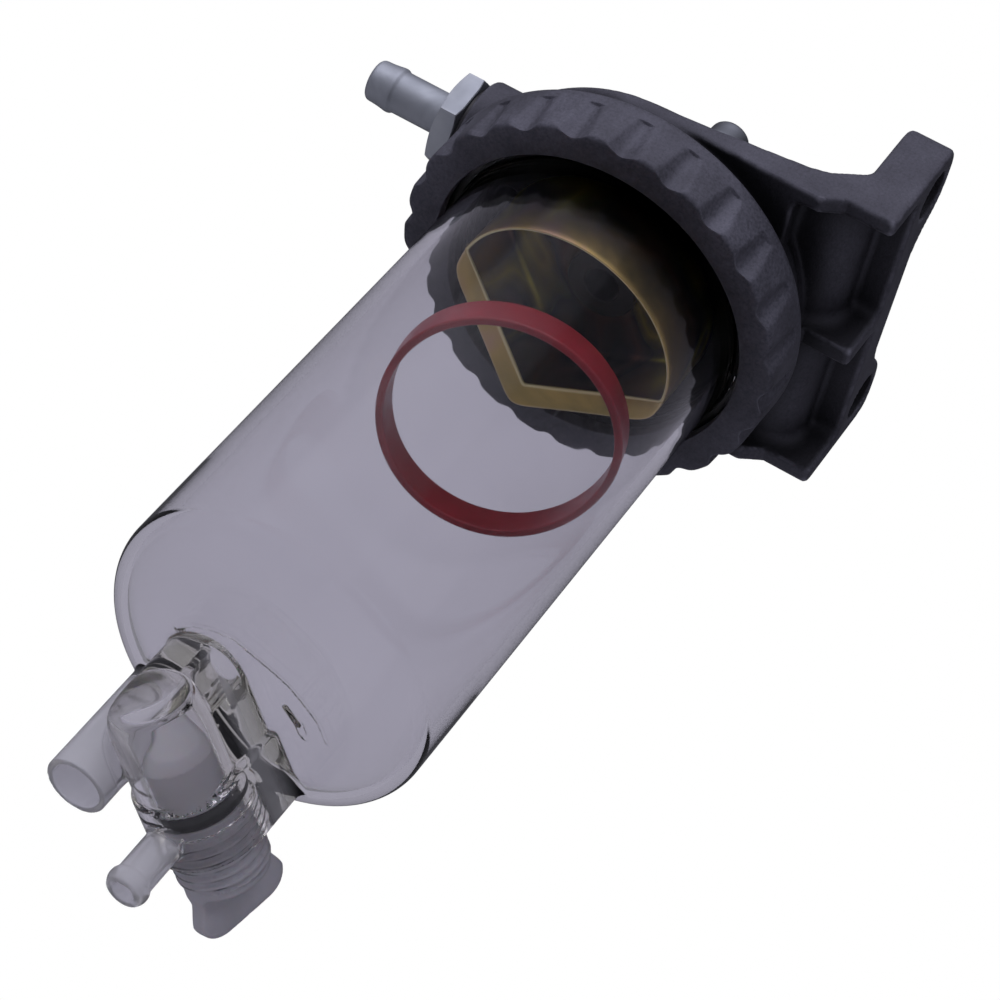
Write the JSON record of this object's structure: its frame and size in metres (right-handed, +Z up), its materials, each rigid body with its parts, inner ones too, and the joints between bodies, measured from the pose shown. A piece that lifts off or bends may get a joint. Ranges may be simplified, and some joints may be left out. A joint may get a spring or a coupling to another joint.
{
  "type": "fuel water separator",
  "caption": "Fuel water separator: clear screw-on bowl under a cast head with a two-bolt bracket, hose barbs, float ring, baffle cup and drain plug.",
  "frame": {"origin": "middle of the two mounting bolt holes, on the mounting face", "axes": "+Y into the wall the bracket bolts to, +Z up along the bowl's axis, +X across the two bolts"},
  "size_m": [0.087, 0.1215, 0.2287],
  "materials": {
    "cast_aluminium": "matte sand-cast",
    "zinc_steel": "zinc plated",
    "yellow_zinc": "yellow passivated zinc plating",
    "clear_plastic": "clear moulded plastic",
    "frosted_plastic": "translucent white plastic",
    "red_plastic": "dark red moulded plastic",
    "black_rubber": "black rubber",
    "copper_washer": "dark bonded sealing washer"
  },
  "bodies": {
    "head": {"head_casting": "cast_aluminium", "inlet_fitting": "zinc_steel", "outlet_fitting": "zinc_steel", "inlet_washer": "copper_washer", "outlet_washer": "copper_washer", "bowl_seal": "black_rubber", "baffle_cup": "yellow_zinc", "cup_rivet": "zinc_steel"},
    "bowl": {"bowl": "clear_plastic"},
    "ring_nut": {"ring_nut": "cast_aluminium"},
    "float": {"float_ring": "red_plastic"},
    "drain_seal": {"drain_seal": "black_rubber"},
    "drain_plug": {"drain_plug": "frosted_plastic"}
  },
  "joints": [
    {"name": "bowl_lower", "type": "slide", "parent": "head", "child": "bowl", "axis": [0, 0, -1], "range_m": [0, 0.00601]},
    {"name": "ring_nut_turn", "type": "hinge", "parent": "bowl", "child": "ring_nut", "pos_m": [0, -0.0513, -0.045], "axis": [0, 0, -1], "range_deg": [0, 1080]},
    {"name": "float_rise", "type": "slide", "parent": "bowl", "child": "float", "axis": [0, 0, 1], "range_m": [-0.065, 0.008]},
    {"name": "drain_plug_out", "type": "slide", "parent": "bowl", "child": "drain_seal", "axis": [-0.8746, 0.4848, 0], "range_m": [0, 0.00601]},
    {"name": "drain_plug_turn", "type": "hinge", "parent": "drain_seal", "child": "drain_plug", "pos_m": [-0.00388, -0.0583, -0.1831], "axis": [-0.8746, 0.4848, 0], "range_deg": [0, 1080]}
  ],
  "couplings": [
    {"joint": "bowl_lower", "follows": "ring_nut_turn", "m_per_rad": 0.00031831},
    {"joint": "drain_plug_out", "follows": "drain_plug_turn", "m_per_rad": 0.00031831}
  ]
}
